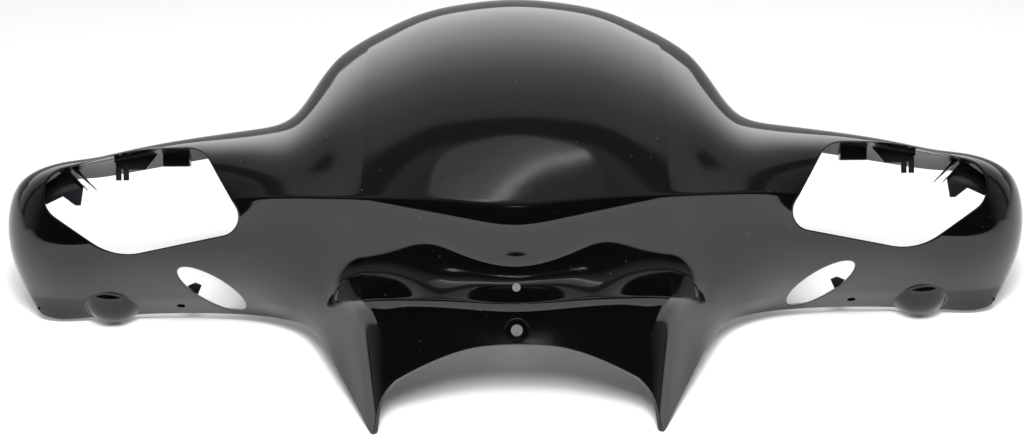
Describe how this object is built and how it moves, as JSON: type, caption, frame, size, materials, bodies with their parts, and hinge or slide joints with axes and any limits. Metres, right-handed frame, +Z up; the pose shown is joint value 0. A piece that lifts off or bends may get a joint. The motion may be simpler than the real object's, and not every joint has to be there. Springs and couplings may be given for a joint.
{
  "type": "handlebar cover",
  "caption": "Front shell of a motor scooter's handlebar: a dome with a brow crease, swept wings with lamp windows, and an arched neck with a screw hole.",
  "frame": {"origin": "on the surface it rests on, below the middle of the cover's box", "axes": "+X across the cover towards its right wing as seen from the front, +Y back towards the rider, +Z up"},
  "size_m": [0.4998, 0.1996, 0.1409],
  "materials": {
    "cover": "high-gloss black moulded ABS, plain inside"
  },
  "bodies": {
    "root": {"handlebar_cover": "cover"}
  },
  "joints": []
}
